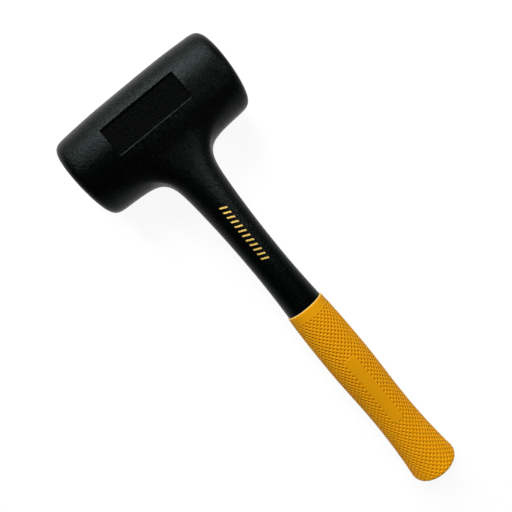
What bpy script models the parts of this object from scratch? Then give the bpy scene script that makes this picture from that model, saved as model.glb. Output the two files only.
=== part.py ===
"""Dead blow hammer, lying on its side as on a bench.

A black urethane casing is moulded in one piece over a steel skeleton: a canister of
loose shot in the head, welded to a steel core that runs down the handle. A yellow
sleeve covers the tang. The head's axis is X, the handle points to -Y, +Z is up.
Inside the hammer's own frame, x is the head's axis, y the handle's, and the
distance down the handle is measured from the head's axis.
"""
import math

import bmesh
import bpy
from mathutils import Matrix

# Driving dimensions, in metres
GAP = 0.0003

HEAD_LENGTH = 0.126
HEAD_RADIUS = 0.03175
HEAD_END_RADIUS = 0.0299
HEAD_EDGE = 0.0036
CROWN_LENGTH = 0.040
FACE_WALL = 0.0115

PANEL_LENGTH = 0.059
PANEL_WIDTH = 0.0210
PANEL_STEP = 0.0009

NECK_REACH = 0.032
NECK_START_DISTANCE = 0.053
NECK_START_RADIUS = 0.0157
WAIST_RADIUS = 0.01275
WAIST_ABOVE_SHOULDER = 0.042
SHOULDER_RADIUS = 0.0140

HANDLE_LENGTH = 0.3140
GRIP_LENGTH = 0.1505
TANG_RADIUS = 0.0115

GRIP_TOP_RADIUS = 0.01495
GRIP_LIP = 0.0005
SWELL_BELOW_SHOULDER = 0.048
SWELL_RADIUS = 0.0162
HOLLOW_BELOW_SWELL = 0.050
HOLLOW_RADIUS = 0.01505
BUTT_RADIUS = 0.0172
BUTT_CORNER = 0.0045
BUTT_WALL = 0.005

COLLAR_LENGTH = 0.0065
LATTICE_PITCH = 0.0036
PIT_DEPTH = 0.0006
PATCH_BELOW_SHOULDER = 0.045
PATCH_LENGTH = 0.056
PATCH_WIDTH = 0.0115

CANISTER_WALL = 0.0032
CAP_FLANGE = 0.002
CAP_PLUG = 0.002
SHOT_PER_ROW = 7
OUTER_ROWS = 6
SHOT_TRAVEL = 0.006

CORE_RADIUS = 0.006
WELD_RADIUS = 0.010
WELD_HEIGHT = 0.009

# Counts that set how finely round pieces are faceted
HEAD_SIDES = 24
NECK_BLOCK_FACES = 6
TURN_STEPS = 36
SMALL_TURN_STEPS = 24
FLARE_STEPS = 3
NECK_STEPS = 3
BALL_STEPS = 2
MERGE_DISTANCE = 0.00001

# Distance from the head's rounded edge of the loops that keep the flank and the face straight
EDGE_HOLD = 3 * HEAD_EDGE

# Places along the handle, measured from the head's axis
SHOULDER_AT = HANDLE_LENGTH - GRIP_LENGTH
WAIST_AT = SHOULDER_AT - WAIST_ABOVE_SHOULDER
GRIP_TOP_AT = SHOULDER_AT + GAP
LATTICE_AT = GRIP_TOP_AT + COLLAR_LENGTH
SWELL_AT = SHOULDER_AT + SWELL_BELOW_SHOULDER
HOLLOW_AT = SWELL_AT + HOLLOW_BELOW_SWELL
BUTT_CORNER_AT = HANDLE_LENGTH - BUTT_CORNER
TANG_END_AT = HANDLE_LENGTH - BUTT_WALL - GAP

# The grip's lattice has as many square meshes as fit round the sleeve, along it and round its butt
LATTICE_SIDES = 4 * round(2 * math.pi * SWELL_RADIUS / LATTICE_PITCH / 4)
LATTICE_ROWS = round((BUTT_CORNER_AT - LATTICE_AT) / LATTICE_PITCH)
CORNER_ROWS = max(1, round(math.pi / 2 * BUTT_CORNER / LATTICE_PITCH))

# The shot rows fill the canister's chamber, less their free travel at each end
CAVITY_HALF = HEAD_LENGTH / 2 - FACE_WALL
CANISTER_HALF = CAVITY_HALF - GAP
CHAMBER_HALF = CANISTER_HALF - CAP_FLANGE - CAP_PLUG
ROW_LENGTH = 2 * (CHAMBER_HALF - SHOT_TRAVEL - GAP)
SHOT_DIAMETER = (ROW_LENGTH - (SHOT_PER_ROW - 1) * GAP) / SHOT_PER_ROW
SHOT_PITCH = SHOT_DIAMETER + GAP
BORE_RADIUS = SHOT_PITCH + SHOT_DIAMETER / 2 + GAP
CANISTER_RADIUS = BORE_RADIUS + CANISTER_WALL

# The hammer rests on the middle of its head and on the rim of its butt
RIM_CENTRE = BUTT_RADIUS - BUTT_CORNER
RIM_DISTANCE = math.hypot(BUTT_CORNER_AT, RIM_CENTRE)
REST_TILT = (math.asin((HEAD_RADIUS - BUTT_CORNER) / RIM_DISTANCE)
             - math.atan2(RIM_CENTRE, BUTT_CORNER_AT))
BUTT_REACH = BUTT_CORNER_AT * math.cos(REST_TILT) + RIM_CENTRE * math.sin(REST_TILT) + BUTT_CORNER
HEAD_Y = (BUTT_REACH - HEAD_RADIUS) / 2

# Turns a piece modelled about its own Z onto the head's or the handle's axis
ALONG_HEAD = (0, math.pi / 2, 0)
ALONG_HEAD_REVERSED = (0, -math.pi / 2, 0)
ALONG_HANDLE = (-math.pi / 2, 0, 0)


def clear_scene():
    """Remove every object, so the script can be run again."""
    for thing in list(bpy.data.objects):
        bpy.data.objects.remove(thing, do_unlink=True)


def new_collection(name):
    """Make a collection in the scene."""
    collection = bpy.data.collections.new(name)
    bpy.context.scene.collection.children.link(collection)
    return collection


def finish(name, colour, roughness, metallic):
    """Make a plain material with its colour, roughness and metallic value."""
    material = bpy.data.materials.new(name)
    material.use_nodes = True
    shader = material.node_tree.nodes["Principled BSDF"]
    shader.inputs["Base Color"].default_value = (*colour, 1)
    shader.inputs["Roughness"].default_value = roughness
    shader.inputs["Metallic"].default_value = metallic
    material.diffuse_color = (*colour, 1)
    return material


def add_object(name, mesh, collection, material=None, rotation=(0, 0, 0), place=(0, 0, 0)):
    """Put a mesh in the hammer's frame as a named object."""
    thing = bpy.data.objects.new(name, mesh)
    collection.objects.link(thing)
    thing.parent = hammer_frame
    thing.rotation_euler = rotation
    thing.location = place
    if material:
        mesh.materials.append(material)
    else:
        thing.hide_render = True
        thing.display_type = "WIRE"
    return thing


def turned_mesh(name, profile, closed=False):
    """Make the half outline of a turned piece, as (radius, height) points."""
    count = len(profile)
    edges = [(i, i + 1) for i in range(count - 1)]
    if closed:
        edges.append((count - 1, 0))
    mesh = bpy.data.meshes.new(name)
    mesh.from_pydata([(radius, 0, height) for radius, height in profile], edges, [])
    return mesh


def turn(thing, steps):
    """Turn an object's outline about its Z axis."""
    screw = thing.modifiers.new("turn", "SCREW")
    screw.steps = steps
    screw.render_steps = steps
    screw.use_merge_vertices = True
    screw.merge_threshold = MERGE_DISTANCE
    screw.use_smooth_shade = True


def cut(thing, cutter):
    """Cut one object out of another."""
    boolean = thing.modifiers.new("cut " + cutter.name, "BOOLEAN")
    boolean.operation = "DIFFERENCE"
    boolean.object = cutter


def bow(at, from_at, from_value, to_at, to_value):
    """Parabola that starts level at from_at and reaches to_value at to_at."""
    share = (at - from_at) / (to_at - from_at)
    return from_value + (to_value - from_value) * share ** 2


def ease(share, start, end):
    """Smooth curve, level at both ends."""
    return start + (end - start) * (1 - math.cos(math.pi * share)) / 2


def steps_between(start, end, count):
    """Evenly spaced places from start up to, but not including, end."""
    return [start + (end - start) * i / count for i in range(count)]


def head_radius(x):
    """Radius of the slightly barrelled head, which has a short straight crown that it lies on."""
    crown_end = CROWN_LENGTH / 2
    if x < crown_end:
        return HEAD_RADIUS
    return bow(x, crown_end, HEAD_RADIUS, HEAD_LENGTH / 2, HEAD_END_RADIUS)


def neck_radius(at):
    """Radius of the black neck at a distance from the head's axis."""
    if at < WAIST_AT:
        return bow(at, WAIST_AT, WAIST_RADIUS, NECK_START_DISTANCE, NECK_START_RADIUS)
    return bow(at, WAIST_AT, WAIST_RADIUS, SHOULDER_AT, SHOULDER_RADIUS)


def ring_shrink(sides):
    """How far subdivision pulls a ring of this many points towards its axis."""
    return (2 + math.cos(2 * math.pi / sides)) / 3


def extrude_ring(cage, edges, place):
    """Extrude a ring of edges, move each new point to place(point), and return the new ring."""
    made = bmesh.ops.extrude_edge_only(cage, edges=edges)["geom"]
    for point in made:
        if isinstance(point, bmesh.types.BMVert):
            point.co = place(point)
    return [edge for edge in made if isinstance(edge, bmesh.types.BMEdge) and edge.is_boundary]


def draw_head(cage):
    """Draw the barrel out of a ring, from the left striking face to the right one."""
    half = HEAD_LENGTH / 2
    shrink = ring_shrink(HEAD_SIDES)
    right_side = [(x, head_radius(x)) for x in (0, CROWN_LENGTH / 2, NECK_REACH)]
    right_side += [(x, head_radius(x)) for x in (half - EDGE_HOLD, half - HEAD_EDGE)]
    right_side += [(half, HEAD_END_RADIUS - HEAD_EDGE), (half, HEAD_END_RADIUS - EDGE_HOLD)]
    stations = [(-x, radius) for x, radius in reversed(right_side[1:])] + right_side

    def ring_at(x, radius):
        def place(point):
            angle = math.atan2(point.co.z, point.co.y)
            return (x, math.cos(angle) * radius / shrink, math.sin(angle) * radius / shrink)
        return place

    first_x, first_radius = stations[0]
    facing = Matrix.Translation((first_x, 0, 0)) @ Matrix.Rotation(math.pi / 2, 4, "Y")
    bmesh.ops.create_circle(cage, cap_ends=True, segments=HEAD_SIDES, radius=first_radius / shrink,
                            matrix=facing)
    edges = cage.edges[:]
    for x, radius in stations[1:]:
        edges = extrude_ring(cage, edges, ring_at(x, radius))
    bmesh.ops.contextual_create(cage, geom=edges)


def open_neck_hole(cage, order):
    """Take out the faces under the head that the neck grows from, and number the rim's points."""
    half_angle = math.pi * NECK_BLOCK_FACES / HEAD_SIDES

    def turn_from_below(place):
        return math.atan2(place.z, -place.y) / half_angle

    def angle_on_rim(point):
        half_step = math.pi / len(corners)
        angle = math.atan2(turn_from_below(point.co), point.co.x / NECK_REACH)
        return (angle + half_step) % (2 * math.pi)

    centres = {face: face.calc_center_median() for face in cage.faces}
    taken = [face for face, centre in centres.items()
             if abs(centre.x) < NECK_REACH and abs(turn_from_below(centre)) < 1]
    bmesh.ops.delete(cage, geom=taken, context="FACES")
    rim = [edge for edge in cage.edges if edge.is_boundary]
    corners = {point for edge in rim for point in edge.verts}
    ordered = sorted(corners, key=angle_on_rim)
    for number, point in enumerate(ordered):
        point[order] = number
    return rim, [point.co.copy() for point in ordered]


def draw_neck(cage):
    """Draw the flare, the neck and the tang out of a hole under the head."""
    order = cage.verts.layers.int.new("order")
    crease = cage.edges.layers.float.new("crease_edge")
    edges, rim_points = open_neck_hole(cage, order)
    sides = len(rim_points)
    shrink = ring_shrink(sides)

    def ring_at(at, radius):
        def place(point):
            angle = 2 * math.pi * point[order] / sides
            return (math.cos(angle) * radius / shrink, -at, math.sin(angle) * radius / shrink)
        return place

    def flare_at(share):
        """Curve that leaves the barrel along its surface and meets the neck along its side."""
        neck_side = ring_at(NECK_START_DISTANCE, NECK_START_RADIUS)
        from_rim, from_bend, from_neck = (1 - share) ** 2, 2 * share * (1 - share), share ** 2

        def place(point):
            rim = rim_points[point[order]]
            side_x, _, side_z = neck_side(point)
            inward = math.hypot(rim.x, rim.z) - math.hypot(side_x, side_z)
            bend_at = -rim.y + inward * rim.z ** 2 / (math.hypot(rim.x, rim.z) * -rim.y)
            return (from_rim * rim.x + (from_bend + from_neck) * side_x,
                    -(from_rim * -rim.y + from_bend * bend_at + from_neck * NECK_START_DISTANCE),
                    from_rim * rim.z + (from_bend + from_neck) * side_z)
        return place

    for share in steps_between(0, 1, FLARE_STEPS)[1:]:
        edges = extrude_ring(cage, edges, flare_at(share))
    to_waist = steps_between(NECK_START_DISTANCE, WAIST_AT, NECK_STEPS)
    to_shoulder = steps_between(WAIST_AT, SHOULDER_AT, NECK_STEPS)
    for at in to_waist + to_shoulder:
        edges = extrude_ring(cage, edges, ring_at(at, neck_radius(at)))
    sharp_rings = [(SHOULDER_AT, SHOULDER_RADIUS), (SHOULDER_AT, TANG_RADIUS), (TANG_END_AT, TANG_RADIUS)]
    for at, radius in sharp_rings:
        edges = extrude_ring(cage, edges, ring_at(at, radius))
        for edge in edges:
            edge[crease] = 1
    bmesh.ops.contextual_create(cage, geom=edges)


def make_casing(cutters):
    """One-piece urethane moulding: barrel head, flared neck, and the tang inside the grip."""
    cage = bmesh.new()
    draw_head(cage)
    draw_neck(cage)
    bmesh.ops.recalc_face_normals(cage, faces=cage.faces[:])
    mesh = bpy.data.meshes.new("casing")
    cage.to_mesh(mesh)
    cage.free()
    mesh.shade_smooth()
    black = finish("black urethane", (0.005, 0.005, 0.005), 0.45, 0)
    casing = add_object("casing", mesh, parts, black)
    smooth = casing.modifiers.new("smooth", "SUBSURF")
    smooth.levels = 1
    smooth.render_levels = 1
    for cutter in cutters:
        cut(casing, cutter)


def make_cavity_cutters():
    """Room inside the casing for the skeleton, open at the tang's end, and the label recess."""
    outline = [(0, CAVITY_HALF), (CANISTER_RADIUS + GAP, CAVITY_HALF),
               (CANISTER_RADIUS + GAP, -CAVITY_HALF), (0, -CAVITY_HALF)]
    canister_room = add_object("canister_room", turned_mesh("canister_room", outline), cutters,
                               rotation=ALONG_HEAD)
    turn(canister_room, TURN_STEPS)
    collar_end = CANISTER_RADIUS + WELD_HEIGHT + GAP
    past_tang = TANG_END_AT + BUTT_WALL
    outline = [(0, 0), (WELD_RADIUS + GAP, 0), (WELD_RADIUS + GAP, -collar_end),
               (CORE_RADIUS + GAP, -collar_end), (CORE_RADIUS + GAP, -past_tang), (0, -past_tang)]
    core_room = add_object("core_room", turned_mesh("core_room", outline), cutters,
                           rotation=ALONG_HANDLE)
    turn(core_room, SMALL_TURN_STEPS)
    return [canister_room, core_room, make_panel_cutter()]


def make_panel_cutter():
    """Flat-floored label recess in the upper flank of the head."""
    edge_radius = head_radius(PANEL_LENGTH / 2)
    floor = math.sqrt(edge_radius ** 2 - (PANEL_WIDTH / 2) ** 2) - PANEL_STEP
    height = HEAD_RADIUS
    block = bmesh.new()
    bmesh.ops.create_cube(block, size=1)
    bmesh.ops.scale(block, vec=(PANEL_LENGTH, PANEL_WIDTH, height), verts=block.verts[:])
    mesh = bpy.data.meshes.new("panel_block")
    block.to_mesh(mesh)
    block.free()
    return add_object("panel_block", mesh, cutters, place=(0, 0, floor + height / 2))


def grip_radius(at):
    """Outside radius of the sleeve: swollen under the fingers, hollow below, flared at the butt."""
    if at < SWELL_AT:
        return bow(at, SWELL_AT, SWELL_RADIUS, SHOULDER_AT, GRIP_TOP_RADIUS)
    if at < HOLLOW_AT:
        return ease((at - SWELL_AT) / HOLLOW_BELOW_SWELL, SWELL_RADIUS, HOLLOW_RADIUS)
    return bow(at, HOLLOW_AT, HOLLOW_RADIUS, BUTT_CORNER_AT, BUTT_RADIUS)


def grip_outline():
    """Half section of the sleeve, from the bottom of its bore, over the lip, to the butt's middle."""
    bore = TANG_RADIUS + GAP
    bore_end = HANDLE_LENGTH - BUTT_WALL
    below_lip = GRIP_TOP_AT + GRIP_LIP
    points = [(0, bore_end), (bore, bore_end), (bore, GRIP_TOP_AT)]
    points += [(GRIP_TOP_RADIUS - GRIP_LIP, GRIP_TOP_AT), (grip_radius(below_lip), below_lip)]
    points += [(grip_radius(at), at) for at in steps_between(LATTICE_AT, BUTT_CORNER_AT, LATTICE_ROWS)]
    for angle in steps_between(0, math.pi / 2, CORNER_ROWS) + [math.pi / 2]:
        points.append((RIM_CENTRE + BUTT_CORNER * math.cos(angle),
                       BUTT_CORNER_AT + BUTT_CORNER * math.sin(angle)))
    points.append((0, HANDLE_LENGTH))
    return points


def in_patch(centre):
    """Whether a place lies in the smooth patch on the sleeve's upper side, which has round ends."""
    half_width = PATCH_WIDTH / 2
    start = SHOULDER_AT + PATCH_BELOW_SHOULDER + half_width
    end = start + PATCH_LENGTH - PATCH_WIDTH
    past_end = -centre.y - min(max(-centre.y, start), end)
    return centre.z > 0 and math.hypot(past_end, centre.x) < half_width


def press_lattice(sleeve):
    """Turn the square meshes below the collar into diamonds, and sink a pit in each outside the patch."""
    def is_covered(face):
        centre = face.calc_center_median()
        return -centre.y > LATTICE_AT and math.hypot(centre.x, centre.z) > RIM_CENTRE

    sagitta = SWELL_RADIUS * (1 - math.cos(math.pi / LATTICE_SIDES))
    squares = [face for face in sleeve.faces if is_covered(face)]
    old_edges = {edge for face in squares for edge in face.edges}
    inner_edges = [edge for edge in old_edges if all(is_covered(face) for face in edge.link_faces)]
    bmesh.ops.poke(sleeve, faces=squares, offset=sagitta)
    bmesh.ops.dissolve_edges(sleeve, edges=inner_edges, use_verts=False)
    diamonds = [face for face in sleeve.faces if is_covered(face) and len(face.verts) == 4]
    pitted = [face for face in diamonds if not in_patch(face.calc_center_median())]
    bmesh.ops.poke(sleeve, faces=pitted, offset=-PIT_DEPTH)


def make_grip():
    """Soft yellow sleeve with a closed butt and a latticed skin, pushed over the tang to the shoulder."""
    sleeve = bmesh.new()
    corners = [sleeve.verts.new((radius, -at, 0)) for radius, at in grip_outline()]
    outline = [sleeve.edges.new(ends) for ends in zip(corners, corners[1:])]
    bmesh.ops.spin(sleeve, geom=corners + outline, cent=(0, 0, 0), axis=(0, 1, 0),
                   angle=2 * math.pi, steps=LATTICE_SIDES)
    bmesh.ops.remove_doubles(sleeve, verts=sleeve.verts[:], dist=MERGE_DISTANCE)
    bmesh.ops.recalc_face_normals(sleeve, faces=sleeve.faces[:])
    press_lattice(sleeve)
    mesh = bpy.data.meshes.new("grip_sleeve")
    sleeve.to_mesh(mesh)
    sleeve.free()
    yellow = finish("yellow rubber", (0.66, 0.285, 0.004), 0.5, 0)
    add_object("grip_sleeve", mesh, parts, yellow)


def make_canister():
    """Steel tube that holds the shot, closed by a flanged cap pressed into each end."""
    end = CANISTER_HALF - CAP_FLANGE - GAP
    outline = [(CANISTER_RADIUS, end), (CANISTER_RADIUS, -end), (BORE_RADIUS, -end), (BORE_RADIUS, end)]
    mesh = turned_mesh("canister_tube", outline, closed=True)
    steel = finish("tube steel", (0.42, 0.42, 0.43), 0.4, 1)
    turn(add_object("canister_tube", mesh, parts, steel, rotation=ALONG_HEAD), TURN_STEPS)
    under_flange = CANISTER_HALF - CAP_FLANGE
    outline = [(0, CANISTER_HALF), (CANISTER_RADIUS, CANISTER_HALF), (CANISTER_RADIUS, under_flange),
               (BORE_RADIUS - GAP, under_flange), (BORE_RADIUS - GAP, CHAMBER_HALF), (0, CHAMBER_HALF)]
    for side, rotation in (("right", ALONG_HEAD), ("left", ALONG_HEAD_REVERSED)):
        name = "canister_cap_" + side
        steel = finish(side + " cap steel", (0.46, 0.46, 0.47), 0.35, 1)
        turn(add_object(name, turned_mesh(name, outline), parts, steel, rotation=rotation), TURN_STEPS)


def make_core(canister_skin):
    """Steel rod down the handle and the collar that welds it to the canister, both coped to it."""
    steel = finish("core steel", (0.36, 0.36, 0.37), 0.45, 1)
    outline = [(0, 0), (CORE_RADIUS, 0), (CORE_RADIUS, -TANG_END_AT), (0, -TANG_END_AT)]
    rod = add_object("handle_core", turned_mesh("handle_core", outline), parts, steel, rotation=ALONG_HANDLE)
    turn(rod, SMALL_TURN_STEPS)
    cut(rod, canister_skin)
    weld = finish("weld steel", (0.32, 0.32, 0.33), 0.5, 1)
    collar_end = CANISTER_RADIUS + WELD_HEIGHT
    outline = [(WELD_RADIUS, 0), (WELD_RADIUS, -collar_end),
               (CORE_RADIUS + GAP, -collar_end), (CORE_RADIUS + GAP, 0)]
    mesh = turned_mesh("core_collar", outline, closed=True)
    collar = add_object("core_collar", mesh, parts, weld, rotation=ALONG_HANDLE)
    turn(collar, SMALL_TURN_STEPS)
    cut(collar, canister_skin)


def make_canister_skin():
    """Cutter a gap larger than the canister, for the pieces that are coped to it."""
    radius = CANISTER_RADIUS + GAP
    outline = [(0, CANISTER_HALF), (radius, CANISTER_HALF), (radius, -CANISTER_HALF), (0, -CANISTER_HALF)]
    skin = add_object("canister_skin", turned_mesh("canister_skin", outline), cutters, rotation=ALONG_HEAD)
    turn(skin, TURN_STEPS)
    return skin


def make_shot():
    """Loose steel shot in straight rows: one on the canister's axis and a ring of rows round it."""
    rows = [("centre", 0, 0)]
    for number in range(OUTER_ROWS):
        angle = 2 * math.pi * number / OUTER_ROWS
        rows.append((str(number + 1), SHOT_PITCH * math.cos(angle), SHOT_PITCH * math.sin(angle)))
    steel = finish("shot steel", (0.5, 0.5, 0.52), 0.3, 1)
    ball = bmesh.new()
    bmesh.ops.create_icosphere(ball, subdivisions=BALL_STEPS, radius=SHOT_DIAMETER / 2)
    for row, y, z in rows:
        for number in range(SHOT_PER_ROW):
            mesh = bpy.data.meshes.new("shot")
            ball.to_mesh(mesh)
            mesh.shade_smooth()
            x = (number - (SHOT_PER_ROW - 1) / 2) * SHOT_PITCH
            add_object(f"shot_{row}_{number + 1}", mesh, parts, steel, place=(x, y, z))
    ball.free()


clear_scene()
parts = new_collection("dead_blow_hammer")
cutters = new_collection("cutters")
hammer_frame = bpy.data.objects.new("hammer_frame", None)
hammer_frame.location = (0, HEAD_Y, HEAD_RADIUS)
hammer_frame.rotation_euler = (REST_TILT, 0, 0)
parts.objects.link(hammer_frame)

make_casing(make_cavity_cutters())
make_grip()
make_canister()
make_core(make_canister_skin())
make_shot()
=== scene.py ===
# Looks of a dead blow hammer that lies on its side on a pale floor.
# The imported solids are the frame. The casing and the grip get finely modelled skins,
# and the steel inside keeps its solids and gets its finishes.
import math

import bmesh
import bpy
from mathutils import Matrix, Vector


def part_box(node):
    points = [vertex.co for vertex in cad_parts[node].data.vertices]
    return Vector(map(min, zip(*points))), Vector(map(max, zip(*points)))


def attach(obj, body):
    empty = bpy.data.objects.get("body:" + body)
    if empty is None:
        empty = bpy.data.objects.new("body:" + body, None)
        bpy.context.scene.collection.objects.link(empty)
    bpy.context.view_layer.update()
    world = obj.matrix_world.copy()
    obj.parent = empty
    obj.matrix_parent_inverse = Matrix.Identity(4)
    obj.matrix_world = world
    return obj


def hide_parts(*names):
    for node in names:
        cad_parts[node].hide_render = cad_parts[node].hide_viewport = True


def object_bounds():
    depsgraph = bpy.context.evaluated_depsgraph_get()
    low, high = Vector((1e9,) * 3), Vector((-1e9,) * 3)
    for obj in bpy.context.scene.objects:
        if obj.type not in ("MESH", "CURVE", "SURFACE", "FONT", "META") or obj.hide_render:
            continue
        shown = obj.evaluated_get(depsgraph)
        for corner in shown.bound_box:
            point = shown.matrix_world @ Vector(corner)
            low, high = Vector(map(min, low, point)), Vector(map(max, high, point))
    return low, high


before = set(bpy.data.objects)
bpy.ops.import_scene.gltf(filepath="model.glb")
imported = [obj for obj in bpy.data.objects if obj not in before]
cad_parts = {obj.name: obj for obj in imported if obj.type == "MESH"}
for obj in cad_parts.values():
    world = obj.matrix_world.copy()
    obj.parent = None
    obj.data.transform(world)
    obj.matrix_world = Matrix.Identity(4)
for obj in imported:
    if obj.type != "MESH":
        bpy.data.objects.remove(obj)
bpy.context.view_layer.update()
bpy.ops.object.select_all(action="DESELECT")

# Steel skeleton: a canister tube with a cap pressed into each end, and a core rod that a
# welded collar holds to the canister. All of it is sealed inside the casing, so it keeps
# its solids and gets the finish of drawn tube, turned caps, rolled bar and a weld.
MILLIMETRE = 0.001
SCRATCHES_TO_MM = 4
SCRATCH_STRETCH = (0.05, 1, 1)
SCRATCH_DETAIL = 4
SCRATCH_BUMP = 0.15
SCRATCH_DEPTH = 0.05 * MILLIMETRE
OXIDE_CLOUDS_TO_MM = 0.12
OXIDE_DETAIL = 6
# Each finish goes from bright to dull with its oxide, and from smooth to rough with its scratches.
DRAWN_TUBE = {"bright": (0.46, 0.46, 0.47), "dull": (0.30, 0.30, 0.31), "smooth": 0.28, "rough": 0.5}
TURNED_CAP = {"bright": (0.52, 0.52, 0.53), "dull": (0.36, 0.36, 0.37), "smooth": 0.22, "rough": 0.42}
ROLLED_BAR = {"bright": (0.40, 0.40, 0.41), "dull": (0.22, 0.21, 0.20), "smooth": 0.35, "rough": 0.6}
WELD_BEAD = {"bright": (0.34, 0.33, 0.32), "dull": (0.16, 0.13, 0.11), "smooth": 0.4, "rough": 0.65}
ALONG_HANDLE = math.pi / 2


def centre_of(node):
    """Middle of a CAD node."""
    low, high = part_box(node)
    return (low + high) / 2


# The hammer lies on the middle of its head and the rim of its butt, so its handle slopes down
# a little. Its own axes start in the middle of the head, with x along the head, the handle
# to -y, and the flank with the label recess up.
HEAD_CENTRE = centre_of("shot_centre_4")
UP_THE_HANDLE = centre_of("shot_1_4") - centre_of("shot_4_4")
REST_TILT = math.atan2(UP_THE_HANDLE.z, UP_THE_HANDLE.y)


def new_material(name):
    """Make a material and return it with its node tree and its shader."""
    material = bpy.data.materials.new(name)
    material.use_nodes = True
    tree = material.node_tree
    return material, tree, tree.nodes["Principled BSDF"]


def add_node(tree, kind, **settings):
    """Add a node and set its own properties."""
    node = tree.nodes.new(kind)
    for name, value in settings.items():
        setattr(node, name, value)
    return node


def own_places(tree, turn=0):
    """Object coordinates in the hammer's own axes, in millimetres, turned about the vertical."""
    places = add_node(tree, "ShaderNodeTexCoord")
    mapping = add_node(tree, "ShaderNodeMapping", vector_type="TEXTURE")
    mapping.inputs["Location"].default_value = HEAD_CENTRE
    mapping.inputs["Rotation"].default_value = (REST_TILT, 0, turn)
    mapping.inputs["Scale"].default_value = (MILLIMETRE, MILLIMETRE, MILLIMETRE)
    tree.links.new(places.outputs["Object"], mapping.inputs["Vector"])
    return mapping.outputs["Vector"]


def blend_colours(tree, mask, first, second):
    """Colour that goes from the first to the second as the mask goes from 0 to 1."""
    mix = add_node(tree, "ShaderNodeMix", data_type="RGBA")
    tree.links.new(mask, mix.inputs["Factor"])
    # A Mix node has sockets for every kind of value, and these are the ones for colours.
    first_socket, second_socket, mixed = mix.inputs[6], mix.inputs[7], mix.outputs[2]
    for socket, colour in ((first_socket, first), (second_socket, second)):
        if isinstance(colour, tuple):
            socket.default_value = (*colour, 1)
        else:
            tree.links.new(colour, socket)
    return mixed


def spread(tree, value, low, high, least=0, most=1):
    """Spread a value that runs from its least to its most over a range."""
    span = add_node(tree, "ShaderNodeMapRange")
    span.inputs["From Min"].default_value = least
    span.inputs["From Max"].default_value = most
    span.inputs["To Min"].default_value = low
    span.inputs["To Max"].default_value = high
    tree.links.new(value, span.inputs["Value"])
    return span.outputs["Result"]


def add_bump(tree, shader, height, strength, depth):
    """Bump a shader's surface by a height that a texture gives."""
    bump = add_node(tree, "ShaderNodeBump")
    bump.inputs["Strength"].default_value = strength
    bump.inputs["Distance"].default_value = depth
    tree.links.new(height, bump.inputs["Height"])
    tree.links.new(bump.outputs["Normal"], shader.inputs["Normal"])


def make_drawn_marks():
    """Group that draws the long scratches and the cloudy oxide of drawn or turned steel."""
    group = bpy.data.node_groups.new("drawn_marks", "ShaderNodeTree")
    group.interface.new_socket("Places", in_out="INPUT", socket_type="NodeSocketVector")
    group.interface.new_socket("Scratch", in_out="OUTPUT", socket_type="NodeSocketFloat")
    group.interface.new_socket("Oxide", in_out="OUTPUT", socket_type="NodeSocketFloat")
    inside = add_node(group, "NodeGroupInput")
    outside = add_node(group, "NodeGroupOutput")
    stretch = add_node(group, "ShaderNodeMapping")
    stretch.inputs["Scale"].default_value = SCRATCH_STRETCH
    scratch = add_node(group, "ShaderNodeTexNoise")
    scratch.inputs["Scale"].default_value = SCRATCHES_TO_MM
    scratch.inputs["Detail"].default_value = SCRATCH_DETAIL
    oxide = add_node(group, "ShaderNodeTexNoise")
    oxide.inputs["Scale"].default_value = OXIDE_CLOUDS_TO_MM
    oxide.inputs["Detail"].default_value = OXIDE_DETAIL
    group.links.new(inside.outputs["Places"], stretch.inputs["Vector"])
    group.links.new(stretch.outputs["Vector"], scratch.inputs["Vector"])
    group.links.new(inside.outputs["Places"], oxide.inputs["Vector"])
    group.links.new(scratch.outputs["Fac"], outside.inputs["Scratch"])
    group.links.new(oxide.outputs["Fac"], outside.inputs["Oxide"])
    return group


drawn_marks = make_drawn_marks()


def make_steel(name, bright, dull, smooth, rough, turn=0):
    """Bare steel whose scratches run along the way it was drawn."""
    material, tree, shader = new_material(name)
    marks = add_node(tree, "ShaderNodeGroup", node_tree=drawn_marks)
    tree.links.new(own_places(tree, turn), marks.inputs["Places"])
    colour = blend_colours(tree, marks.outputs["Oxide"], bright, dull)
    tree.links.new(colour, shader.inputs["Base Color"])
    roughness = spread(tree, marks.outputs["Scratch"], smooth, rough)
    tree.links.new(roughness, shader.inputs["Roughness"])
    shader.inputs["Metallic"].default_value = 1
    add_bump(tree, shader, marks.outputs["Scratch"], SCRATCH_BUMP, SCRATCH_DEPTH)
    return material


def dress(nodes, material):
    """Give CAD nodes a finish."""
    for node in nodes:
        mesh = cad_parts[node].data
        mesh.materials.clear()
        mesh.materials.append(material)


dress(["canister_tube"], make_steel("drawn_tube", **DRAWN_TUBE))
dress(["canister_cap_left", "canister_cap_right"], make_steel("turned_cap", **TURNED_CAP))
dress(["handle_core"], make_steel("rolled_bar", **ROLLED_BAR, turn=ALONG_HANDLE))
dress(["core_collar"], make_steel("weld_bead", **WELD_BEAD))

# Loose shot: steel balls in straight rows that slide along the canister just after a blow.
# Tumbling against each other leaves them bright, with a fine peened skin.
PEENED_SHOT = {"bright": (0.58, 0.58, 0.60), "dull": (0.44, 0.44, 0.45), "smooth": 0.16, "rough": 0.34}
SHOT = sorted(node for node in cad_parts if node.startswith("shot_"))
dress(SHOT, make_steel("peened_shot", **PEENED_SHOT))

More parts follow.
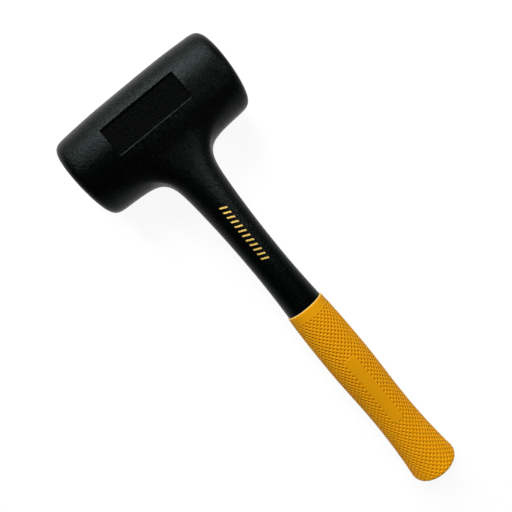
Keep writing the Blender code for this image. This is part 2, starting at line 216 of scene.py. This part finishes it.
# Casing: black urethane, moulded in one piece over the skeleton. Its barrel head flares into a
# round neck, which ends in a shoulder and a tang for the grip. A flat label recess, left bare,
# is sunk in the upper flank, and a row of plain gold bars is printed along the neck.
HEAD_LENGTH = 126 * MILLIMETRE
HEAD_RADIUS = 31.75 * MILLIMETRE
HEAD_END_RADIUS = 29.9 * MILLIMETRE
HEAD_EDGE = 3.6 * MILLIMETRE
EDGE_HOLD = 3 * HEAD_EDGE
CROWN_LENGTH = 40 * MILLIMETRE
HEAD_SIDES = 24
NECK_REACH = 32 * MILLIMETRE
OPENING_FACES = 6
OPENING_HALF_ANGLE = math.pi * OPENING_FACES / HEAD_SIDES
FLARE_CORNER_REACH = 26 * MILLIMETRE
FLARE_CORNER_ANGLE = math.radians(35)
FLARE_CUTS = 2
FLARE_SMOOTHNESS = 0.7
NECK_START = 53 * MILLIMETRE
NECK_START_RADIUS = 15.7 * MILLIMETRE
NECK_STEPS = 3
WAIST = 121.5 * MILLIMETRE
WAIST_RADIUS = 12.75 * MILLIMETRE
SHOULDER = 163.5 * MILLIMETRE
SHOULDER_RADIUS = 14 * MILLIMETRE
TANG_RADIUS = 11.5 * MILLIMETRE
TANG_END = 308.7 * MILLIMETRE
CASING_LEVELS = 3
SMOOTHING_ANGLE = math.radians(35)
GAP = 0.3 * MILLIMETRE
CAVITY_SIDES = 72
PANEL_LENGTH = 59 * MILLIMETRE
PANEL_WIDTH = 21 * MILLIMETRE
PANEL_STEP = 0.9 * MILLIMETRE
PANEL_WALL = 0.55 * MILLIMETRE
PANEL_CHAMFER = 0.7 * MILLIMETRE
PANEL_CORNER = 0.5 * MILLIMETRE
PANEL_CORNER_STEPS = 3
PANEL_BLOCK_RISE = 4 * MILLIMETRE
FACING_UP = 0.95
ALONG_HEAD_TURN = (0, math.pi / 2, 0)
DOWN_HANDLE_TURN = (math.pi / 2, 0, 0)


def bow(at, from_at, from_value, to_at, to_value):
    """Parabola that starts level at from_at and reaches to_value at to_at."""
    share = (at - from_at) / (to_at - from_at)
    return from_value + (to_value - from_value) * share ** 2


def head_radius(x):
    """Radius of the barrel, straight over its crown and drawn in towards its ends."""
    crown_end = CROWN_LENGTH / 2
    if x < crown_end:
        return HEAD_RADIUS
    return bow(x, crown_end, HEAD_RADIUS, HEAD_LENGTH / 2, HEAD_END_RADIUS)


def neck_radius(at):
    """Radius of the neck at a distance from the head's axis."""
    if at < WAIST:
        return bow(at, WAIST, WAIST_RADIUS, NECK_START, NECK_START_RADIUS)
    return bow(at, WAIST, WAIST_RADIUS, SHOULDER, SHOULDER_RADIUS)


def ring_shrink(sides):
    """How far subdivision pulls a ring of this many points towards its axis."""
    return (2 + math.cos(2 * math.pi / sides)) / 3


def choose(piece, kind, wanted):
    """Select the points, edges or faces that pass a test, in edit mode."""
    bpy.ops.mesh.select_mode(type=kind)
    bpy.ops.mesh.select_all(action="DESELECT")
    mesh = bmesh.from_edit_mesh(piece.data)
    elements = {"VERT": mesh.verts, "EDGE": mesh.edges, "FACE": mesh.faces}[kind]
    elements.ensure_lookup_table()
    for element in elements:
        if wanted(element):
            element.select_set(True)
    mesh.select_flush_mode()
    bmesh.update_edit_mesh(piece.data)


def make_active(piece):
    """Leave edit mode, and select a piece and nothing else."""
    bpy.ops.object.mode_set(mode="OBJECT")
    bpy.ops.object.select_all(action="DESELECT")
    piece.select_set(True)
    bpy.context.view_layer.objects.active = piece


def apply_modifier(piece, kind, **settings):
    """Add a modifier, set it up and apply it."""
    bpy.ops.object.mode_set(mode="OBJECT")
    bpy.context.view_layer.objects.active = piece
    modifier = piece.modifiers.new(kind.lower(), kind)
    for name, value in settings.items():
        setattr(modifier, name, value)
    bpy.ops.object.modifier_apply(modifier=modifier.name)


def lay_down(piece):
    """Lay a skin made in the hammer's own axes where the solids lie, with its place in its mesh."""
    make_active(piece)
    piece.location = HEAD_CENTRE
    piece.rotation_euler = (REST_TILT, 0, 0)
    bpy.ops.object.transform_apply(location=True, rotation=True, scale=True)


def draw_barrel():
    """Draw the barrel from its left striking face to its right one."""
    half = HEAD_LENGTH / 2
    right_side = [(x, head_radius(x)) for x in (0, CROWN_LENGTH / 2, NECK_REACH)]
    right_side += [(x, head_radius(x)) for x in (half - EDGE_HOLD, half - HEAD_EDGE)]
    right_side += [(half, HEAD_END_RADIUS - HEAD_EDGE), (half, HEAD_END_RADIUS - EDGE_HOLD)]
    stations = [(-x, radius) for x, radius in reversed(right_side[1:])] + right_side
    left_x, left_radius = stations[0]
    drawn_radius = left_radius / ring_shrink(HEAD_SIDES)
    bpy.ops.mesh.primitive_circle_add(vertices=HEAD_SIDES, radius=drawn_radius, fill_type="NGON",
                                      location=(left_x, 0, 0), rotation=ALONG_HEAD_TURN)
    bpy.ops.object.transform_apply(location=True, rotation=True, scale=True)
    barrel = bpy.context.object
    bpy.ops.object.mode_set(mode="EDIT")
    bpy.ops.mesh.select_all(action="SELECT")
    for (from_x, from_radius), (x, radius) in zip(stations, stations[1:]):
        bpy.ops.mesh.extrude_region_move(TRANSFORM_OT_translate={"value": (x - from_x, 0, 0)})
        grow = radius / from_radius
        bpy.ops.transform.resize(value=(1, grow, grow), center_override=(x, 0, 0))
    bpy.ops.mesh.select_all(action="SELECT")
    bpy.ops.mesh.normals_make_consistent(inside=False)
    return barrel


def angle_off_handle(place):
    """How far round the head's axis a place is from the side that the handle leaves."""
    return abs(math.atan2(place.z, -place.y))


def under_the_head(face):
    """Whether a face of the barrel lies where the neck grows out of it."""
    centre = face.calc_center_median()
    return abs(centre.x) < NECK_REACH and angle_off_handle(centre) < OPENING_HALF_ANGLE


def on_opening_corner(point):
    """Whether a point is one of the four corners of the opening for the neck."""
    half_face = math.pi / HEAD_SIDES
    at_end = abs(abs(point.co.x) - NECK_REACH) < MILLIMETRE
    return at_end and abs(angle_off_handle(point.co) - OPENING_HALF_ANGLE) < half_face


def open_underside(casing):
    """Open the barrel where the neck grows out of it, and draw the opening's corners in."""
    choose(casing, "FACE", under_the_head)
    bpy.ops.mesh.delete(type="FACE")
    choose(casing, "VERT", on_opening_corner)
    along = FLARE_CORNER_REACH / NECK_REACH
    down = math.cos(FLARE_CORNER_ANGLE) / math.cos(OPENING_HALF_ANGLE)
    inward = math.sin(FLARE_CORNER_ANGLE) / math.sin(OPENING_HALF_ANGLE)
    bpy.ops.transform.resize(value=(along, down, inward), center_override=(0, 0, 0))


def is_open_edge(edge):
    """Whether an edge borders an opening."""
    return edge.is_boundary


def draw_neck(casing):
    """Draw the neck and the tang below the opening, and flare the barrel into them."""
    choose(casing, "EDGE", is_open_edge)
    sides = sum(edge.select for edge in bmesh.from_edit_mesh(casing.data).edges)
    bpy.ops.mesh.select_all(action="DESELECT")
    drawn_radius = NECK_START_RADIUS / ring_shrink(sides)
    bpy.ops.mesh.primitive_circle_add(vertices=sides, radius=drawn_radius,
                                      location=(0, -NECK_START, 0), rotation=DOWN_HANDLE_TURN)
    to_waist = [NECK_START + (WAIST - NECK_START) * i / NECK_STEPS for i in range(1, NECK_STEPS)]
    to_shoulder = [WAIST + (SHOULDER - WAIST) * i / NECK_STEPS for i in range(NECK_STEPS + 1)]
    rings = [(at, neck_radius(at)) for at in to_waist + to_shoulder]
    rings += [(SHOULDER, TANG_RADIUS), (TANG_END, TANG_RADIUS)]
    from_at, from_radius = NECK_START, NECK_START_RADIUS
    for at, radius in rings:
        bpy.ops.mesh.extrude_edges_move(TRANSFORM_OT_translate={"value": (0, from_at - at, 0)})
        grow = radius / from_radius
        bpy.ops.transform.resize(value=(grow, 1, grow), center_override=(0, -at, 0))
        if at >= SHOULDER:
            bpy.ops.transform.edge_crease(value=1)
        from_at, from_radius = at, radius
    bpy.ops.mesh.edge_face_add()
    choose(casing, "EDGE", is_open_edge)
    bpy.ops.mesh.bridge_edge_loops(number_cuts=FLARE_CUTS, interpolation="SURFACE",
                                   smoothness=FLARE_SMOOTHNESS)
    bpy.ops.mesh.select_all(action="SELECT")
    bpy.ops.mesh.normals_make_consistent(inside=False)


def add_drum(radius, start, end, turn):
    """Round cutter with its axis along the head or down the handle."""
    middle = (start + end) / 2
    place = (middle, 0, 0) if turn == ALONG_HEAD_TURN else (0, -middle, 0)
    bpy.ops.mesh.primitive_cylinder_add(vertices=CAVITY_SIDES, radius=radius, depth=end - start,
                                        location=place, rotation=turn)
    return bpy.context.object


def is_upright(edge):
    """Whether an edge of the label recess's block stands upright."""
    first, second = edge.verts
    return abs(first.co.z - second.co.z) > PANEL_WALL / 2


def faces_up(face):
    """Whether a face is level and looks up."""
    return face.normal.z > FACING_UP


def add_panel_block():
    """Block for the label recess: upright walls, with a chamfer along both long sides."""
    corner_radius = head_radius(PANEL_LENGTH / 2)
    floor = math.sqrt(corner_radius ** 2 - (PANEL_WIDTH / 2) ** 2) - PANEL_STEP
    floor_width = PANEL_WIDTH - 2 * PANEL_CHAMFER
    bpy.ops.mesh.primitive_cube_add(size=1, location=(0, 0, floor + PANEL_WALL / 2),
                                    scale=(PANEL_LENGTH, floor_width, PANEL_WALL))
    block = bpy.context.object
    bpy.ops.object.transform_apply(location=True, rotation=True, scale=True)
    bpy.ops.object.mode_set(mode="EDIT")
    choose(block, "EDGE", is_upright)
    bpy.ops.mesh.bevel(offset=PANEL_CORNER, segments=PANEL_CORNER_STEPS, affect="EDGES")
    choose(block, "FACE", faces_up)
    bpy.ops.mesh.extrude_region_move(TRANSFORM_OT_translate={"value": (0, 0, PANEL_BLOCK_RISE)})
    opening = PANEL_BLOCK_RISE * PANEL_CHAMFER / (PANEL_STEP - PANEL_WALL)
    widen = 1 + 2 * opening / floor_width
    bpy.ops.transform.resize(value=(1, widen, 1), center_override=(0, 0, floor))
    return block


def cut_away(piece, cutter):
    """Cut a finished cutter out of a piece and throw the cutter away."""
    apply_modifier(piece, "BOOLEAN", operation="DIFFERENCE", object=cutter)
    bpy.data.objects.remove(cutter, do_unlink=True)


casing = draw_barrel()
casing.name = "casing_skin"
open_underside(casing)
draw_neck(casing)
apply_modifier(casing, "SUBSURF", levels=CASING_LEVELS, render_levels=CASING_LEVELS)
cap_low, cap_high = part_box("canister_cap_right")
cap_radius = (cap_high.y - cap_low.y) / 2
canister_room = cap_high.x + GAP
cut_away(casing, add_drum(cap_radius + GAP, -canister_room, canister_room, ALONG_HEAD_TURN))
collar_low, collar_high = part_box("core_collar")
collar_radius = (collar_high.x - collar_low.x) / 2
collar_reach = HEAD_CENTRE.y - collar_low.y + GAP
cut_away(casing, add_drum(collar_radius + GAP, 0, collar_reach, DOWN_HANDLE_TURN))
rod_low, rod_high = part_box("handle_core")
rod_radius = (rod_high.x - rod_low.x) / 2
past_tang = TANG_END + GAP
cut_away(casing, add_drum(rod_radius + GAP, 0, past_tang, DOWN_HANDLE_TURN))
cut_away(casing, add_panel_block())
make_active(casing)
bpy.ops.object.shade_smooth_by_angle(angle=SMOOTHING_ANGLE)

SPECKLE_DETAIL = 3
TONE_CLOUDS_TO_MM = 0.06
TONE_DETAIL = 5
BLACK = (0.0004, 0.0005, 0.0005)
WORN_BLACK = (0.0010, 0.0011, 0.0011)
GREENISH_SHEEN = (0.82, 1, 0.97, 1)
URETHANE_PEBBLES_TO_MM = 1.3
URETHANE_HEIGHTS = (0.65, 1.15)
URETHANE_ROUGHNESS = (0.13, 0.36)
URETHANE_SPECULAR = 0.06
URETHANE_BUMP = 0.8
URETHANE_DEPTH = 0.26 * MILLIMETRE
STIPPLE_PEBBLES_TO_MM = 0.9
STIPPLE_ROUGHNESS = (0.5, 0.64)
STIPPLE_SPECULAR = 0.016
STIPPLE_BUMP = 1
STIPPLE_DEPTH = 0.8 * MILLIMETRE
STIPPLE_MATERIAL = 1
GOLD_INK = (0.50, 0.325, 0.08)
# The print's sizes are numbers of millimetres, as the hammer's own places are.
PRINT_MIDDLE = 96
PRINT_LENGTH = 48
BAR_HEIGHT = 5
BAR_PITCH = 4
BAR_SHARE = 0.32
BAR_SLANT = 0.45


def make_moulded_grain():
    """Group that draws the fine pebbled skin of a moulding and its slow changes of tone."""
    group = bpy.data.node_groups.new("moulded_grain", "ShaderNodeTree")
    group.interface.new_socket("Places", in_out="INPUT", socket_type="NodeSocketVector")
    group.interface.new_socket("Pebble", in_out="INPUT", socket_type="NodeSocketFloat")
    group.interface.new_socket("Height", in_out="OUTPUT", socket_type="NodeSocketFloat")
    group.interface.new_socket("Tone", in_out="OUTPUT", socket_type="NodeSocketFloat")
    inside = add_node(group, "NodeGroupInput")
    outside = add_node(group, "NodeGroupOutput")
    pebbles = add_node(group, "ShaderNodeTexVoronoi", feature="SMOOTH_F1")
    speckle = add_node(group, "ShaderNodeTexNoise")
    speckle.inputs["Detail"].default_value = SPECKLE_DETAIL
    together = add_node(group, "ShaderNodeMath", operation="ADD")
    tone = add_node(group, "ShaderNodeTexNoise")
    tone.inputs["Scale"].default_value = TONE_CLOUDS_TO_MM
    tone.inputs["Detail"].default_value = TONE_DETAIL
    for texture in (pebbles, speckle):
        group.links.new(inside.outputs["Places"], texture.inputs["Vector"])
        group.links.new(inside.outputs["Pebble"], texture.inputs["Scale"])
    group.links.new(pebbles.outputs["Distance"], together.inputs[0])
    group.links.new(speckle.outputs["Fac"], together.inputs[1])
    group.links.new(inside.outputs["Places"], tone.inputs["Vector"])
    group.links.new(together.outputs["Value"], outside.inputs["Height"])
    group.links.new(tone.outputs["Fac"], outside.inputs["Tone"])
    return group


moulded_grain = make_moulded_grain()


def add_grain(tree, places, pebble):
    """Place the moulded grain in a material, with so many pebbles to the millimetre."""
    grain = add_node(tree, "ShaderNodeGroup", node_tree=moulded_grain)
    grain.inputs["Pebble"].default_value = pebble
    tree.links.new(places, grain.inputs["Places"])
    return grain


def calculate(tree, operation, *values):
    """Math node on some values, each a number or a socket."""
    node = add_node(tree, "ShaderNodeMath", operation=operation)
    for socket, value in zip(node.inputs, values):
        if isinstance(value, (int, float)):
            socket.default_value = value
        else:
            tree.links.new(value, socket)
    return node.outputs["Value"]


def make_print_mask(tree, places):
    """Mask of the row of plain slanted bars that is printed along the top of the neck."""
    axes = add_node(tree, "ShaderNodeSeparateXYZ")
    tree.links.new(places, axes.inputs["Vector"])
    across, along, up = axes.outputs
    slanted = calculate(tree, "MULTIPLY_ADD", across, BAR_SLANT, along)
    in_row = calculate(tree, "COMPARE", slanted, -PRINT_MIDDLE, PRINT_LENGTH / 2)
    in_height = calculate(tree, "COMPARE", across, 0, BAR_HEIGHT / 2)
    pitches = calculate(tree, "DIVIDE", slanted, BAR_PITCH)
    part_of_pitch = calculate(tree, "FRACT", pitches)
    in_bar = calculate(tree, "LESS_THAN", part_of_pitch, BAR_SHARE)
    on_top = calculate(tree, "GREATER_THAN", up, 0)
    in_print = calculate(tree, "MULTIPLY", in_row, in_height)
    on_bar = calculate(tree, "MULTIPLY", in_bar, on_top)
    return calculate(tree, "MULTIPLY", in_print, on_bar)


def make_urethane():
    """Black satin urethane with a fine pebbled skin and a row of gold bars printed on the neck."""
    material, tree, shader = new_material("black_urethane")
    places = own_places(tree)
    grain = add_grain(tree, places, URETHANE_PEBBLES_TO_MM)
    black = blend_colours(tree, grain.outputs["Tone"], BLACK, WORN_BLACK)
    colour = blend_colours(tree, make_print_mask(tree, places), black, GOLD_INK)
    tree.links.new(colour, shader.inputs["Base Color"])
    roughness = spread(tree, grain.outputs["Height"], *URETHANE_ROUGHNESS, *URETHANE_HEIGHTS)
    tree.links.new(roughness, shader.inputs["Roughness"])
    shader.inputs["Specular IOR Level"].default_value = URETHANE_SPECULAR
    shader.inputs["Specular Tint"].default_value = GREENISH_SHEEN
    add_bump(tree, shader, grain.outputs["Height"], URETHANE_BUMP, URETHANE_DEPTH)
    return material


def make_stippled_floor():
    """Duller black urethane of the label recess, with a coarse stippled skin."""
    material, tree, shader = new_material("stippled_urethane")
    grain = add_grain(tree, own_places(tree), STIPPLE_PEBBLES_TO_MM)
    black = blend_colours(tree, grain.outputs["Tone"], BLACK, WORN_BLACK)
    tree.links.new(black, shader.inputs["Base Color"])
    roughness = spread(tree, grain.outputs["Tone"], *STIPPLE_ROUGHNESS)
    tree.links.new(roughness, shader.inputs["Roughness"])
    shader.inputs["Specular IOR Level"].default_value = STIPPLE_SPECULAR
    add_bump(tree, shader, grain.outputs["Height"], STIPPLE_BUMP, STIPPLE_DEPTH)
    return material


def on_panel_floor(face):
    """Whether a face is part of the label recess's floor."""
    centre = face.calc_center_median()
    in_panel = abs(centre.x) < PANEL_LENGTH / 2 and abs(centre.y) < PANEL_WIDTH / 2
    return in_panel and centre.z > 0 and faces_up(face)


casing.data.materials.append(make_urethane())
casing.data.materials.append(make_stippled_floor())
bpy.ops.object.mode_set(mode="EDIT")
choose(casing, "FACE", on_panel_floor)
casing.active_material_index = STIPPLE_MATERIAL
bpy.ops.object.material_slot_assign()
lay_down(casing)
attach(casing, "hammer")
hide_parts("casing")

# Grip: a yellow soft rubber sleeve pushed over the tang up to the shoulder. Below a smooth
# collar it has a raised lattice of crossing ridges with a pit in each mesh, a smooth bare
# patch along its upper side, and a closed butt that the lattice runs round.
GRIP_TOP = SHOULDER + GAP
HANDLE_LENGTH = 312.6 * MILLIMETRE
GRIP_TOP_RADIUS = 14.95 * MILLIMETRE
GRIP_LIP = 0.5 * MILLIMETRE
LIP_HOLD = 3 * GRIP_LIP
# Width of the painted highlight along the top of the lip.
LIP_HIGHLIGHT_BAND = 0.35 * MILLIMETRE
COLLAR_LENGTH = 6.5 * MILLIMETRE
SWELL = 211.5 * MILLIMETRE
SWELL_RADIUS = 16.2 * MILLIMETRE
HOLLOW = 261.5 * MILLIMETRE
HOLLOW_RADIUS = 15.05 * MILLIMETRE
BUTT_RADIUS = 17.8 * MILLIMETRE
BUTT_CORNER = 2.2 * MILLIMETRE
BUTT_WALL = 5 * MILLIMETRE
BORE_RADIUS = TANG_RADIUS + GAP
CORNER_AT = HANDLE_LENGTH - BUTT_CORNER
CORNER_ROWS = 2
GRIP_SIDES = 28
GRIP_LEVELS = 1
MERGE_DISTANCE = 0.01 * MILLIMETRE
LATTICE_START = GRIP_TOP + COLLAR_LENGTH
LATTICE_ROWS = 39
DIAMOND_CORNERS = 4
RIDGE_HALF = 0.25 * MILLIMETRE
PIT_SLOPE = 0.62 * MILLIMETRE
PIT_DEPTH = 0.8 * MILLIMETRE
PATCH_START = 208.5 * MILLIMETRE
PATCH_END = 264.5 * MILLIMETRE
PATCH_HALF_WIDTH = 4.6 * MILLIMETRE


def grip_radius(at):
    """Radius of the sleeve: swelling under the fingers, hollow below, and flared at the butt."""
    if at < SWELL:
        return bow(at, SWELL, SWELL_RADIUS, SHOULDER, GRIP_TOP_RADIUS)
    if at < HOLLOW:
        share = (at - SWELL) / (HOLLOW - SWELL)
        return SWELL_RADIUS + (HOLLOW_RADIUS - SWELL_RADIUS) * (1 - math.cos(math.pi * share)) / 2
    return bow(at, HOLLOW, HOLLOW_RADIUS, CORNER_AT, BUTT_RADIUS)


def grip_outline():
    """Half section of the sleeve, from the bottom of its bore, over the lip, to the butt's middle."""
    bore_end = HANDLE_LENGTH - BUTT_WALL
    points = [(0, bore_end), (BORE_RADIUS, bore_end), (BORE_RADIUS, GRIP_TOP)]
    points += [(GRIP_TOP_RADIUS - GRIP_LIP, GRIP_TOP), (grip_radius(GRIP_TOP), GRIP_TOP + GRIP_LIP)]
    points += [(grip_radius(at), at) for at in (GRIP_TOP + LIP_HOLD, LATTICE_START - GRIP_LIP)]
    for row in range(LATTICE_ROWS):
        at = LATTICE_START + (CORNER_AT - LATTICE_START) * row / LATTICE_ROWS
        points.append((grip_radius(at), at))
    for row in range(CORNER_ROWS + 1):
        angle = math.pi / 2 * row / CORNER_ROWS
        points.append((BUTT_RADIUS - BUTT_CORNER * (1 - math.cos(angle)),
                       CORNER_AT + BUTT_CORNER * math.sin(angle)))
    rim = BUTT_RADIUS - BUTT_CORNER
    points += [(rim / 2, HANDLE_LENGTH), (0, HANDLE_LENGTH)]
    return points


def spin_sleeve():
    """Draw the sleeve's half section point by point and spin it round the handle."""
    outline = grip_outline()
    bpy.ops.mesh.primitive_plane_add(size=MILLIMETRE)
    sleeve = bpy.context.object
    bpy.ops.object.mode_set(mode="EDIT")
    bpy.ops.mesh.select_mode(type="VERT")
    bpy.ops.mesh.select_all(action="SELECT")
    bpy.ops.mesh.merge(type="CENTER")
    radius, at = outline[0]
    bpy.ops.transform.translate(value=(radius, -at, 0))
    for (from_radius, from_at), (radius, at) in zip(outline, outline[1:]):
        step = (radius - from_radius, from_at - at, 0)
        bpy.ops.mesh.extrude_vertices_move(TRANSFORM_OT_translate={"value": step})
    bpy.ops.mesh.select_all(action="SELECT")
    bpy.ops.mesh.spin(steps=GRIP_SIDES, angle=2 * math.pi, center=(0, 0, 0), axis=(0, 1, 0))
    bpy.ops.mesh.select_all(action="SELECT")
    bpy.ops.mesh.remove_doubles(threshold=MERGE_DISTANCE)
    bpy.ops.mesh.normals_make_consistent(inside=False)
    return sleeve


def in_lattice(face):
    """Whether a face of the plain sleeve is one that the lattice covers."""
    centre = face.calc_center_median()
    outside_bore = math.hypot(centre.x, centre.z) > BORE_RADIUS + 2 * GAP
    return -centre.y > LATTICE_START and outside_bore


def in_patch(face):
    """Whether a face lies in the smooth patch, which has round ends."""
    centre = face.calc_center_median()
    middle_start = PATCH_START + PATCH_HALF_WIDTH
    middle_end = PATCH_END - PATCH_HALF_WIDTH
    along = -centre.y - min(max(-centre.y, middle_start), middle_end)
    return centre.z > 0 and math.hypot(along, centre.x) < PATCH_HALF_WIDTH


def press_lattice(sleeve):
    """Turn the sleeve's square meshes into diamonds and sink a pit in each, outside the patch."""
    # Leaving edit mode and coming back numbers the points anew, so that poked ones come last.
    bpy.ops.object.mode_set(mode="OBJECT")
    bpy.ops.object.mode_set(mode="EDIT")
    choose(sleeve, "FACE", in_lattice)
    corner_count = len(bmesh.from_edit_mesh(sleeve.data).verts)
    sagitta = SWELL_RADIUS * (1 - math.cos(math.pi / GRIP_SIDES))
    bpy.ops.mesh.poke(offset=sagitta)

    def is_poked(face):
        """Whether a face has a poked point."""
        return any(point.index >= corner_count for point in face.verts)

    def is_old_edge(edge):
        """Whether an edge parts two square meshes that were poked."""
        old_ends = all(point.index < corner_count for point in edge.verts)
        return old_ends and all(is_poked(face) for face in edge.link_faces)

    def takes_pit(face):
        """Whether a face is a whole diamond outside the patch."""
        is_diamond = is_poked(face) and len(face.verts) == DIAMOND_CORNERS
        return is_diamond and not in_patch(face)

    choose(sleeve, "EDGE", is_old_edge)
    bpy.ops.mesh.dissolve_edges(use_verts=False)
    choose(sleeve, "FACE", takes_pit)
    bpy.ops.mesh.inset(thickness=RIDGE_HALF, use_individual=True)
    bpy.ops.mesh.inset(thickness=PIT_SLOPE, depth=-PIT_DEPTH, use_individual=True)
    # Marks the pit floors, where the rubber's material paints shade.
    mesh = bmesh.from_edit_mesh(sleeve.data)
    pit = mesh.verts.layers.float.new("pit")
    for point in mesh.verts:
        point[pit] = float(point.select)
    bmesh.update_edit_mesh(sleeve.data)


grip = spin_sleeve()
grip.name = "grip_skin"
press_lattice(grip)
apply_modifier(grip, "SUBSURF", levels=GRIP_LEVELS, render_levels=GRIP_LEVELS)
make_active(grip)
bpy.ops.object.shade_smooth()
lay_down(grip)

YELLOW = (0.605, 0.249, 0.003)
DEEP_YELLOW = (0.54, 0.213, 0.002)
# Painted shade: the colour that darkens the pit floors, where shade falls in the pits.
PIT_PAINTED_SHADE = (0.48, 0.172, 0.001)
# Painted highlight: the pale colour of a thin band along the lip's top edge, where it catches the
# light.
LIP_PAINTED_HIGHLIGHT = (0.62, 0.45, 0.17)
RUBBER_PEBBLES_TO_MM = 3
RUBBER_ROUGHNESS = (0.42, 0.58)
RUBBER_SPECULAR = 0.03
RUBBER_BUMP = 0.15
RUBBER_DEPTH = 0.05 * MILLIMETRE


def make_grip_rubber():
    """Soft yellow rubber, matte and faintly pebbled, with painted shade in its pits and a painted
    highlight on its lip.
    """
    material, tree, shader = new_material("yellow_rubber")
    places = own_places(tree)
    grain = add_grain(tree, places, RUBBER_PEBBLES_TO_MM)
    yellow = blend_colours(tree, grain.outputs["Tone"], YELLOW, DEEP_YELLOW)
    pit = add_node(tree, "ShaderNodeAttribute", attribute_name="pit")
    # Painted shade: the pit floors are darkened towards the pit colour.
    pit_shaded = blend_colours(tree, pit.outputs["Fac"], yellow, PIT_PAINTED_SHADE)
    axes = add_node(tree, "ShaderNodeSeparateXYZ")
    tree.links.new(places, axes.inputs["Vector"])
    # Painted highlight: a thin pale band along the top of the lip.
    on_lip = calculate(tree, "GREATER_THAN", axes.outputs["Y"], -(GRIP_TOP + LIP_HIGHLIGHT_BAND) / MILLIMETRE)
    colour = blend_colours(tree, on_lip, pit_shaded, LIP_PAINTED_HIGHLIGHT)
    tree.links.new(colour, shader.inputs["Base Color"])
    roughness = spread(tree, grain.outputs["Tone"], *RUBBER_ROUGHNESS)
    tree.links.new(roughness, shader.inputs["Roughness"])
    shader.inputs["Specular IOR Level"].default_value = RUBBER_SPECULAR
    add_bump(tree, shader, grain.outputs["Height"], RUBBER_BUMP, RUBBER_DEPTH)
    return material


grip.data.materials.append(make_grip_rubber())
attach(grip, "hammer")
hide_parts("grip_sleeve")

# Studio: a pale floor that keeps the hammer's soft shadow, dim surroundings, one wide lamp
# beyond the head, and a fan of three small ones on the right that face the neck's flare.
FLOOR_SIZE = 8
FLOOR_COLOUR = (0.88, 0.88, 0.88, 1)
WHITE_SHARE = 0.92
AMBIENT = 0.04
KEY_PLACE = (0.24, 2.0, 1.85)
KEY_AIM = (0, 0, 0)
KEY_SIZE = (1.5, 2.0)
KEY_SPREAD = 180
KEY_WATTS = 160
KEY_COLOUR = (0.94, 1, 1)
FLARE_SPOT = Vector((0.009, 0.094, 0.05))
FAN_REACH = 0.62
FAN_TILTS = ((32, 2), (50, -8), (28, -32))
FAN_SIZE = (0.1, 0.1)
FAN_SPREAD = 14
FAN_WATTS = 0.012
FAN_COLOUR = (1, 0.98, 0.94)
bpy.ops.mesh.primitive_plane_add(size=FLOOR_SIZE, location=(0, 0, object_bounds()[0].z))
floor = bpy.context.object
floor.name = "floor"


def make_floor_paint():
    """Matte pale floor that shows mostly plain white and still darkens in the shadow."""
    material, tree, shader = new_material("pale_floor")
    shader.inputs["Base Color"].default_value = FLOOR_COLOUR
    shader.inputs["Roughness"].default_value = 1
    shader.inputs["Specular IOR Level"].default_value = 0
    glow = add_node(tree, "ShaderNodeEmission")
    rays = add_node(tree, "ShaderNodeLightPath")
    seen = calculate(tree, "MAXIMUM", rays.outputs["Is Camera Ray"], rays.outputs["Is Glossy Ray"])
    seen = calculate(tree, "MAXIMUM", seen, rays.outputs["Is Transmission Ray"])
    whiteness = calculate(tree, "MULTIPLY", seen, WHITE_SHARE)
    mix = add_node(tree, "ShaderNodeMixShader")
    tree.links.new(whiteness, mix.inputs["Fac"])
    tree.links.new(shader.outputs["BSDF"], mix.inputs[1])
    tree.links.new(glow.outputs["Emission"], mix.inputs[2])
    tree.links.new(mix.outputs["Shader"], tree.nodes["Material Output"].inputs["Surface"])
    return material


floor.data.materials.append(make_floor_paint())
world = bpy.data.worlds.new("studio")
world.use_nodes = True
world.node_tree.nodes["Background"].inputs["Color"].default_value = (AMBIENT, AMBIENT, AMBIENT, 1)
bpy.context.scene.world = world


def add_lamp(name, place, aim, size, spread_angle, watts, colour):
    """Soft box that faces a point and throws its light within an angle in degrees."""
    lamp = bpy.data.lights.new(name, "AREA")
    lamp.shape = "RECTANGLE"
    lamp.size, lamp.size_y = size
    lamp.spread = math.radians(spread_angle)
    lamp.energy = watts
    lamp.color = colour
    thing = bpy.data.objects.new(name, lamp)
    bpy.context.scene.collection.objects.link(thing)
    thing.location = place
    thing.rotation_euler = (Vector(aim) - Vector(place)).to_track_quat("-Z", "Y").to_euler()


add_lamp("lamp_beyond_head", KEY_PLACE, KEY_AIM, KEY_SIZE, KEY_SPREAD, KEY_WATTS, KEY_COLOUR)
for number, (sideways, down_the_handle) in enumerate(FAN_TILTS, start=1):
    slopes = math.tan(math.radians(sideways)), math.tan(math.radians(down_the_handle))
    place = FLARE_SPOT + FAN_REACH * Vector((*slopes, 1)).normalized()
    add_lamp(f"lamp_right_{number}", place, FLARE_SPOT, FAN_SIZE, FAN_SPREAD, FAN_WATTS, FAN_COLOUR)

# Camera: nearly straight above the hammer, and turned so that the handle runs down to the
# right. Its place is in metres, its turn in degrees and its lens in millimetres.
CAMERA_PLACE = (-0.00475, 0.02436, 0.3479)
CAMERA_TURN = (0.403, 0.114, -39.68)
CAMERA_LENS = 31.97
camera_data = bpy.data.cameras.new("camera")
camera_data.lens = CAMERA_LENS
camera = bpy.data.objects.new("camera", camera_data)
bpy.context.scene.collection.objects.link(camera)
camera.location = CAMERA_PLACE
camera.rotation_euler = [math.radians(angle) for angle in CAMERA_TURN]
bpy.context.scene.camera = camera
bpy.context.scene.view_settings.view_transform = "Standard"
